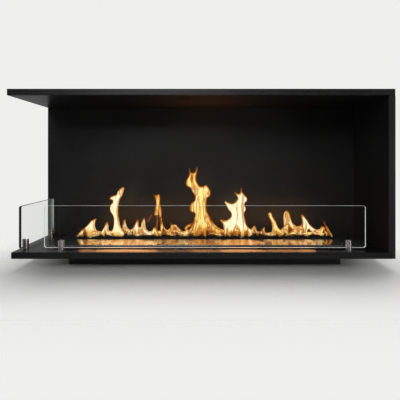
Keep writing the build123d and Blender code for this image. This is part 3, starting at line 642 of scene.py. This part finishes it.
def ceramic_wool(name):
    """White ceramic wool: matted fibres, with painted shade that darkens its small hollows."""
    material, tree = new_material(name)
    combed = object_place(tree, (1.0, 0.25, 1.0))
    fibres = noise(tree, combed, size=0.0018, detail=6.0, roughness=0.75, distortion=1.2)
    tufts = noise(tree, object_place(tree), size=0.009, detail=4.0, roughness=0.6, distortion=0.6)
    height_and_shade = product(tree, fibres, tufts)
    bump = node(tree, "Bump", {"Height": height_and_shade, "Strength": 0.8, "Distance": 0.0012})
    surface(tree, {
        # Painted shade: the low parts of the fibres' bump are painted darker
        "Base Color": ramp(
            tree, height_and_shade, ((0.12, (0.42, 0.40, 0.36)), (0.34, (0.86, 0.85, 0.81))),
        ),
        "Roughness": 0.95,
        "Normal": bump.outputs["Normal"],
    })
    return material


def silicone(name):
    """Milky silicone with a faint sheen."""
    material, tree = new_material(name)
    bloom = noise(tree, object_place(tree), size=0.003, detail=3.0)
    surface(tree, {
        "Base Color": shaded(tree, (0.60, 0.60, 0.58), 0.10, bloom),
        "Roughness": ranged(tree, bloom, 0.3, 0.7, 0.42, 0.58),
        "Subsurface Weight": 0.15,
        "Subsurface Radius": (0.002, 0.002, 0.002),
    })
    return material


def pane_glass(name, tint, front_edge, rear_edge, facing, mirrored, edge_look):
    """Clear toughened glass with ground edges. The edges glow with painted light, and may change
    colour from the front of the pane to its rear with painted shade in between.
    Facing is the axis across the pane, and mirrored is how deep a painted reflection of the rear
    edge shows inside the pane.
    The edge's look says where it starts, where it is whole, and how strongly it mirrors."""
    material, tree = new_material(name)
    (starts, is_whole), sheen = edge_look
    # Real smudges that vary the gloss, and also the strength of the edges' painted glow
    grime_and_glow = noise(tree, object_place(tree), size=0.08, detail=4.0, roughness=0.6)
    clear = node(tree, "BsdfTransparent", {"Color": (*tint, 1.0)})
    gloss = node(tree, "BsdfGlossy", {
        "Color": (*WHITE, 1.0), "Roughness": ranged(tree, grime_and_glow, 0.4, 0.7, 0.0, 0.03),
    })
    face = node(tree, "NewGeometry").outputs
    entering = math_node(tree, "SUBTRACT", 1.0, face["Backfacing"])
    mirror = product(tree, node(tree, "Fresnel", {"IOR": 1.45}).outputs["Fac"], entering)
    body = node(tree, "MixShader", {0: mirror, 1: clear.outputs[0], 2: gloss.outputs[0]})
    across = node(tree, "VectorMath", {0: face["True Normal"], 1: facing}, operation="DOT_PRODUCT")
    flatness = math_node(tree, "ABSOLUTE", across.outputs["Value"], 0.0)
    on_edge = ranged(tree, flatness, starts, is_whole, 0.0, 1.0)
    low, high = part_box(name)
    if front_edge == rear_edge:
        edge_light_and_shade = (*front_edge, 1.0)
    else:
        # Painted reflection: a band inside the side pane, near its rear, is painted in the rear
        # edge's colour
        along = node(tree, "SeparateXYZ", {0: object_place(tree)}).outputs["Y"]
        inner = high.y - mirrored
        inside = ranged(tree, along, inner, inner + 0.002, 0.0, MIRRORED_SHARE)
        on_edge = math_node(tree, "MAXIMUM", on_edge, inside)
        # Painted shade: the side pane's edge is darker between its front and rear ends
        shaded_edge = tuple(c * 0.15 for c in rear_edge)
        edge_light_and_shade = ramp(tree, ranged(tree, along, low.y, high.y, 0.0, 1.0), (
            (0.0, front_edge), (0.02, front_edge), (0.30, shaded_edge), (0.975, shaded_edge),
            (1.0, rear_edge),
        ))
    # Painted light: the edge glows in its own colour through emission, and the same colour carries
    # the painted shade of the dark edge
    edge = node(tree, "BsdfPrincipled", {
        "Base Color": edge_light_and_shade,
        "Roughness": 0.22,
        "Specular IOR Level": sheen,
        "IOR": 1.5,
        "Emission Color": edge_light_and_shade,
        "Emission Strength": ranged(tree, grime_and_glow, 0.35, 0.65, 0.75, 1.15),
    })
    whole = node(tree, "MixShader", {0: on_edge, 1: body.outputs[0], 2: edge.outputs[0]})
    node(tree, "OutputMaterial", {"Surface": whole.outputs[0]})
    return material


def attribute(tree, name):
    """A value stored on a mesh's points."""
    return node(tree, "Attribute", attribute_name=name, attribute_type="GEOMETRY").outputs["Fac"]


def burning_gas(name, strength):
    """Ethanol flame: a pale inside with streaks that rise, an orange outline and tip, and a
    foot that is clear in its middle and fades out just over the slot."""
    material, tree = new_material(name)
    edge, rise, heat = (attribute(tree, key) for key in ("edge", "rise", "hotness"))
    place = node(tree, "TexCoord").outputs["Object"]
    height = math_node(
        tree, "SUBTRACT", node(tree, "SeparateXYZ", {0: place}).outputs["Z"], FLOOR_LEVEL,
    )
    drawn_up, drawn = object_place(tree, (1.0, 1.0, 0.10)), object_place(tree, (1.0, 1.0, 0.3))
    streaks = noise(tree, drawn_up, size=0.0085, detail=2.0, roughness=0.5, distortion=0.25)
    wisps = noise(tree, drawn, size=0.022, detail=2.0, roughness=0.5, distortion=0.6)
    core = math_node(tree, "ADD", ranged(tree, edge, 0.30, 0.80, -0.50, 0.66),
                     ranged(tree, wisps, 0.35, 0.65, 0.12, -0.12))
    hollow = product(tree, core, ranged(tree, height, *HOLLOW, 1.0, 0.0))
    off_foot = math_node(tree, "SUBTRACT", 1.0, hollow)
    flicker = ranged(tree, math_node(tree, "ADD", streaks, wisps), 0.78, 1.14, 0.36, 1.50)
    warm = product(tree, ramp(tree, rise, BODY_BY_RISE), flicker)
    for factor in (ramp(tree, edge, SKIN_BY_EDGE), off_foot, heat):
        warm = product(tree, warm, factor)
    cooler = math_node(tree, "ADD", ranged(tree, heat, 0.80, 1.04, 1.0, 0.0),
                       ranged(tree, wisps, 0.42, 0.62, -0.25, 0.35), clamp=True)
    amber = node(tree, "Mix", {"Factor": cooler}, data_type="RGBA", blend_type="MULTIPLY")
    tree.links.new(ramp(tree, warm, COLOUR_BY_WARMTH), amber.inputs["A"])
    amber.inputs["B"].default_value = (*AMBER, 1.0)
    outline = ramp(tree, edge, ((0.0, 0.0), (0.14, 1.0)))
    ragged = math_node(tree, "ADD", height, ranged(tree, wisps, 0.35, 0.65, -0.007, 0.007))
    foot = ranged(tree, ragged, *FOOT, 0.0, 1.0)
    shown = product(tree, outline, foot)
    hidden = product(tree, shown, ranged(tree, warm, 0.12, 0.50, 0.05, 0.97))
    light = product(tree, product(tree, ramp(tree, warm, GLOW_BY_WARMTH), shown), strength)
    gas = node(tree, "Emission", {"Color": amber.outputs["Result"], "Strength": light})
    clear = node(tree, "BsdfTransparent", {"Color": math_node(tree, "SUBTRACT", 1.0, hidden)})
    whole = node(tree, "AddShader", {0: clear.outputs[0], 1: gas.outputs[0]})
    node(tree, "OutputMaterial", {"Surface": whole.outputs[0]})
    return material


def finish(names, material):
    """Gives nodes of the frame a material."""
    for name in names:
        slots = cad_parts[name].data.materials
        slots.clear()
        slots.append(material)


def link(name, mesh):
    """A mesh object in the scene, at the origin."""
    made = bpy.data.objects.new(name, mesh)
    bpy.context.scene.collection.objects.link(made)
    return made


def outline_curve(outline, sheet):
    """A smooth closed outline, filled and given the thickness of a thin sheet."""
    curve = bpy.data.curves.new("outline", "CURVE")
    curve.dimensions = "2D"
    curve.fill_mode = "BOTH"
    curve.extrude = sheet / 2
    curve.resolution_u = 5
    spline = curve.splines.new("BEZIER")
    spline.bezier_points.add(len(outline) - 1)
    for point, (x, height) in zip(spline.bezier_points, outline):
        point.co = (x * MM, height * MM, 0.0)
        point.handle_left_type = "AUTO"
        point.handle_right_type = "AUTO"
    spline.use_cyclic_u = True
    return curve


def evaluated_mesh(data, remesh_size=None):
    """The mesh of a curve or mesh, cut into even cells where a size is given."""
    holder = link("holder", data)
    if remesh_size:
        cells = holder.modifiers.new("cells", "REMESH")
        cells.mode = "VOXEL"
        cells.voxel_size = remesh_size
    graph = bpy.context.evaluated_depsgraph_get()
    mesh = bpy.data.meshes.new_from_object(holder.evaluated_get(graph))
    bpy.data.objects.remove(holder)
    return mesh


def swollen_tongue(outline, behind, depth, cell):
    """A flame tongue's mesh, swollen from its outline to its middle, and each point's distance
    from the outline and share of the tongue's height. The sheet's voxel cells are moved out on
    both sides by how far they stand from the outline."""
    sheet = 2 * cell
    flat = evaluated_mesh(outline_curve(outline, sheet))
    rim = kdtree.KDTree(len(flat.vertices))
    for vertex in flat.vertices:
        rim.insert((vertex.co.x, vertex.co.y, 0.0), vertex.index)
    rim.balance()
    mesh = evaluated_mesh(flat, cell)
    low = min(height for _, height in outline) * MM
    high = max(height for _, height in outline) * MM
    edges, rises = [], []
    for vertex in mesh.vertices:
        x, height, side = vertex.co
        distance = rim.find((x, height, 0.0))[2]
        inside = 1.0 - min(distance / depth, 1.0)
        swell = depth * math.sqrt(max(THINNEST, 1.0 - inside * inside))
        away = behind * MM + side / sheet * 2 * swell
        vertex.co = (x, SLOT_MIDDLE.y + away, FLOOR_LEVEL + height)
        edges.append(min(distance / EDGE_REACH, 1.0))
        rises.append((height - low) / (high - low))
    return mesh, edges, rises


def flame_mesh(depth, cell):
    """All the tongues as one mesh, with the values that their material reads."""
    whole = bmesh.new()
    values = {"edge": [], "rise": [], "hotness": []}
    for behind, heat, outline in TONGUES:
        mesh, edges, rises = swollen_tongue(outline, behind, depth, cell)
        whole.from_mesh(mesh)
        values["edge"] += edges
        values["rise"] += rises
        values["hotness"] += [heat] * len(edges)
    mesh = bpy.data.meshes.new("flames")
    bmesh.ops.recalc_face_normals(whole, faces=whole.faces)
    whole.to_mesh(mesh)
    whole.free()
    for name, numbers in values.items():
        mesh.attributes.new(name, "FLOAT", "POINT").data.foreach_set("value", numbers)
    return mesh


def soft_light(name, place, target, size, power, spread=WIDE, colour=WHITE, shape="RECTANGLE"):
    """A soft light that faces a point. Its spread is in degrees."""
    light = bpy.data.lights.new(name, "AREA")
    light.color = colour
    light.shape = shape
    light.size, light.size_y = size
    light.energy = power
    light.spread = math.radians(spread)
    lamp = bpy.data.objects.new(name, light)
    lamp.visible_camera = False
    lamp.location = place
    lamp.rotation_euler = (Vector(target) - Vector(place)).to_track_quat("-Z", "Y").to_euler()
    bpy.context.scene.collection.objects.link(lamp)
    return lamp


def fire_lamps(look):
    """The fire's lamps: two for each group of tall flames, at their feet and over the hearth in
    front of them, and one each for the wall behind and the ceiling."""
    x, ahead, behind = SLOT_MIDDLE.x, SLOT_MIDDLE.y - GLOW_OFFSET, SLOT_MIDDLE.y + GLOW_OFFSET
    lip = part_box("shutter")[0].y - LIP_OFFSET
    lamps = []
    for number, (middle, width, share) in enumerate(GLOWS, 1):
        for name, along, y, (height, tall), power in (
            ("foot", middle * MM, ahead, FOOT_GLOW, look.foot_power),
            ("hearth", middle * MM * LIP_SPREAD, lip, HEARTH_GLOW, look.hearth_power),
        ):
            place = Vector((along, y, FLOOR_LEVEL + height))
            lamps.append(soft_light(
                f"{name}_glow_{number}", place, place + Vector((0.0, -1.0, 0.0)),
                (width * MM * GLOW_WIDTH, tall), power * share, WIDE, FIRELIGHT, "ELLIPSE",
            ))
    height, faced, size = WALL_GLOW
    lamps.append(soft_light(
        "wall_glow", (x, behind, FLOOR_LEVEL + height), (x, ahead + 1.0, FLOOR_LEVEL + faced),
        size, look.wall_power, WIDE, FIRELIGHT,
    ))
    height, size, spread = CROWN_GLOW
    lamps.append(soft_light(
        "crown_glow", (x, ahead, FLOOR_LEVEL + height), (x, ahead + 0.001, 1.0),
        size, look.crown_power, spread, FIRELIGHT,
    ))
    return lamps


def carry_glows(lamps):
    """Carries the fire's lamps on the burner. Each lamp hangs on a point of a mesh that has no
    faces."""
    spots = bmesh.new()
    for lamp in lamps:
        bmesh.ops.create_vert(spots, co=lamp.location)
    mesh = bpy.data.meshes.new("glow_carrier")
    spots.to_mesh(mesh)
    spots.free()
    carrier = link("glow_carrier", mesh)
    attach(carrier, "burner")
    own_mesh(carrier)
    for number, lamp in enumerate(lamps):
        lamp.location = (0.0, 0.0, 0.0)
        lamp.parent = carrier
        lamp.parent_type = "VERTEX"
        lamp.parent_vertices = (number, number, number)


class FIREPLACE_OT_casing(bpy.types.Operator):
    """Powder coats the walls, the housing and the cover screws"""
    bl_idname = "fireplace.casing"
    bl_label = "Coat the casing"

    def execute(self, context):
        look = context.scene.fireplace.casing
        skin = {"refraction": look.refraction, "grain": look.grain}
        inner = powder_coat("inner_black", look.colour, look.inner_roughness, **skin)
        outer = powder_coat("outer_black", look.colour, look.outer_roughness, **skin)
        hearth = powder_coat(
            "hearth_black", look.hearth_colour, look.hearth_roughness, lacquer=0.26, **skin,
        )
        finish(INNER_WALLS, inner)
        finish(("floor_tray",), hearth)
        finish(OUTER_WALLS + ("burner_housing", "cover_screws"), outer)
        return {"FINISHED"}


class FIREPLACE_OT_burner(bpy.types.Operator):
    """Finishes the burner's top plate, its shutter and the shutter's rails"""
    bl_idname = "fireplace.burner"
    bl_label = "Finish the burner"

    def execute(self, context):
        look = context.scene.fireplace.burner
        black = burner_black("burner_black", look.colour, look.roughness)
        finish(("burner_deck", "shutter") + RAILS, black)
        return {"FINISHED"}


class FIREPLACE_OT_tank(bpy.types.Operator):
    """Finishes the tank, the grate, the wool and the rivets"""
    bl_idname = "fireplace.tank"
    bl_label = "Finish the tank"

    def execute(self, context):
        look = context.scene.fireplace.steel
        sooty = tuple(c * 0.45 for c in look.colour)
        steel = rolled_steel("tank_steel", look.colour, roughness=0.34, stretch=(0.02, 1.0, 1.0))
        grate = rolled_steel("grate_steel", sooty, roughness=0.42, stretch=(0.05, 1.0, 1.0))
        finish(("burner_tank", "rail_rivets"), steel)
        finish(("burner_grate",), grate)
        finish(("burner_wool",), ceramic_wool("wool"))
        return {"FINISHED"}


class FIREPLACE_OT_holders(bpy.types.Operator):
    """Finishes the four round holders and their silicone channels"""
    bl_idname = "fireplace.holders"
    bl_label = "Finish the holders"

    def execute(self, context):
        look = context.scene.fireplace.steel
        steel = turned_steel("holder_steel", look.colour, look.roughness, look.grain)
        finish(HOLDERS, steel)
        finish(("holder_pads",), silicone("silicone"))
        return {"FINISHED"}


class FIREPLACE_OT_fixings(bpy.types.Operator):
    """Zinc plates the screws and nuts inside the walls"""
    bl_idname = "fireplace.fixings"
    bl_label = "Finish the fixings"

    def execute(self, context):
        finish(ZINC_SCREWS, zinc_plate("zinc_screws"))
        return {"FINISHED"}


class FIREPLACE_OT_panes(bpy.types.Operator):
    """Makes the two panes clear, with pale edges that glow with painted light, and a dark front
    edge of painted shade on the side pane
    """
    bl_idname = "fireplace.panes"
    bl_label = "Finish the panes"

    def execute(self, context):
        look = context.scene.fireplace.glass
        pale, dark = tuple(look.painted_light_edge), tuple(look.painted_shade_edge)
        front = pane_glass(
            "front_glass", look.tint, pale, pale, (0.0, 1.0, 0.0), 0.0, PALE_EDGE,
        )
        side = pane_glass(
            "side_glass", look.tint, dark, pale, (1.0, 0.0, 0.0), MIRRORED_EDGE, DARK_EDGE,
        )
        finish(("front_glass",), front)
        finish(("side_glass",), side)
        return {"FINISHED"}


class FIREPLACE_OT_flames(bpy.types.Operator):
    """Lights the flames along the slot"""
    bl_idname = "fireplace.flames"
    bl_label = "Light the flames"

    def execute(self, context):
        look = context.scene.fireplace.flames
        flames = link("flames", flame_mesh(look.depth, look.cell))
        flames.data.materials.append(burning_gas("burning_gas", look.strength))
        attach(flames, "burner")
        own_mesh(flames)
        carry_glows(fire_lamps(look))
        return {"FINISHED"}


def studio_world(look):
    """Pale background behind everything, and a dimmer light from all around."""
    world = bpy.data.worlds.new("studio")
    world.use_nodes = True
    tree = world.node_tree
    tree.nodes.clear()
    white = (*WHITE, 1.0)
    seen = node(tree, "Background", {"Color": (*look.background, 1.0), "Strength": 1.0})
    towards = node(tree, "TexCoord").outputs["Generated"]
    behind = node(tree, "SeparateXYZ", {0: towards}).outputs["Y"]
    glare = ranged(tree, behind, -0.25, 0.35, look.mirrored_front, look.mirrored_back)
    mirrored = node(tree, "Background", {"Color": white, "Strength": glare})
    ambient = node(tree, "Background", {"Color": white, "Strength": look.ambient})
    ray = node(tree, "LightPath").outputs
    surroundings = ambient
    for kind, background in (("Is Glossy Ray", mirrored), ("Is Camera Ray", seen)):
        surroundings = node(tree, "MixShader", {
            0: ray[kind], 1: surroundings.outputs[0], 2: background.outputs[0],
        })
    node(tree, "OutputWorld", {"Surface": surroundings.outputs[0]})
    bpy.context.scene.world = world


def floor_material(colour, middle, half, reach):
    """Pale plain paint, whole in a box under the casing and fading into the background over the
    reach beyond it."""
    material, tree = new_material("studio_floor")
    place = object_place(tree)
    plaster = noise(tree, place, size=0.25, detail=4.0)
    paint = node(tree, "BsdfDiffuse", {"Color": shaded(tree, colour, 0.01, plaster)})
    clear = node(tree, "BsdfTransparent")
    offset = place
    for operation, other in (
        ("SUBTRACT", {1: middle}), ("ABSOLUTE", {}),
        ("SUBTRACT", {1: half}), ("MAXIMUM", {1: (0, 0, 0)}),
    ):
        moved = node(tree, "VectorMath", {0: offset, **other}, operation=operation)
        offset = moved.outputs["Vector"]
    away = node(tree, "VectorMath", {0: offset}, operation="LENGTH").outputs["Value"]
    fade = node(
        tree, "MapRange", {"Value": away, "From Min": 0.0, "From Max": reach},
        interpolation_type="SMOOTHSTEP",
    ).outputs["Result"]
    whole = node(tree, "MixShader", {0: fade, 1: paint.outputs[0], 2: clear.outputs[0]})
    node(tree, "OutputMaterial", {"Surface": whole.outputs[0]})
    return material


def studio_floor(look):
    """The round floor just under the housing."""
    low, high = cad_box
    middle, half = (low + high) / 2, (high - low) / 2
    centre = (middle.x, middle.y, LOWEST - FLOOR_DROP)
    ground = bmesh.new()
    bmesh.ops.create_circle(
        ground, cap_ends=True, segments=FLOOR_SEGMENTS, radius=look.floor_radius,
    )
    bmesh.ops.translate(ground, verts=ground.verts, vec=(0.0, *centre[1:]))
    mesh = bpy.data.meshes.new("studio_floor")
    ground.to_mesh(mesh)
    ground.free()
    floor = link("studio_floor", mesh)
    core = (half.x * FLOOR_CORE[0], half.y * FLOOR_CORE[1], 1.0)
    mesh.materials.append(floor_material(look.floor_colour, centre, core, look.floor_fade))


def studio_camera(look):
    """The camera, level and square to the front."""
    camera = bpy.data.cameras.new("camera")
    camera.sensor_fit = "HORIZONTAL"
    camera.lens = look.lens
    camera.shift_x, camera.shift_y = look.shift
    view = bpy.data.objects.new("camera", camera)
    view.location = look.camera_place
    view.rotation_euler = Euler((math.pi / 2, 0.0, 0.0))
    bpy.context.scene.collection.objects.link(view)
    bpy.context.scene.camera = view


class FIREPLACE_OT_stage(bpy.types.Operator):
    """Sets up the pale floor, the soft lights, the background and the camera"""
    bl_idname = "fireplace.stage"
    bl_label = "Set up the studio"

    def execute(self, context):
        look = context.scene.fireplace.stage
        studio_world(look)
        studio_floor(look)
        powers = (
            look.overhead_power, look.front_power, look.opening_power, look.strip_power,
            look.strip_power * LEFT_STRIP,
        )
        for (name, place, target, size, spread), power in zip(STUDIO_LIGHTS, powers):
            soft_light(name, place, target, size, power, spread)
        studio_camera(look)
        context.scene.view_settings.view_transform = "Standard"
        return {"FINISHED"}


STEPS = (
    FIREPLACE_OT_casing, FIREPLACE_OT_burner, FIREPLACE_OT_tank, FIREPLACE_OT_holders,
    FIREPLACE_OT_fixings, FIREPLACE_OT_panes, FIREPLACE_OT_flames, FIREPLACE_OT_stage,
)


class FIREPLACE_PT_sidebar(bpy.types.Panel):
    """The steps that dress the fireplace, and their settings"""
    bl_idname = "FIREPLACE_PT_sidebar"
    bl_label = "Bioethanol fireplace"
    bl_space_type = "VIEW_3D"
    bl_region_type = "UI"
    bl_category = "Fireplace"

    def draw(self, context):
        look = context.scene.fireplace
        for step in STEPS:
            self.layout.operator(step.bl_idname, text=step.bl_label)
        for group in (look.casing, look.burner, look.steel, look.glass, look.flames, look.stage):
            box = self.layout.box()
            for key in group.__annotations__:
                box.prop(group, key)


CLASSES = (
    CasingFinish, BurnerFinish, SteelFinish, GlassFinish, FlameFinish, StageSettings,
    FireplaceSettings, *STEPS, FIREPLACE_PT_sidebar,
)


def register():
    for kind in CLASSES:
        bpy.utils.register_class(kind)
    bpy.types.Scene.fireplace = bpy.props.PointerProperty(
        type=FireplaceSettings, name="Fireplace", description="Sizes and finishes",
    )


def unregister():
    del bpy.types.Scene.fireplace
    for kind in reversed(CLASSES):
        bpy.utils.unregister_class(kind)


def main():
    register()
    for step in STEPS:
        group, name = step.bl_idname.split(".")
        getattr(getattr(bpy.ops, group), name)()


if __name__ == "__main__":
    main()
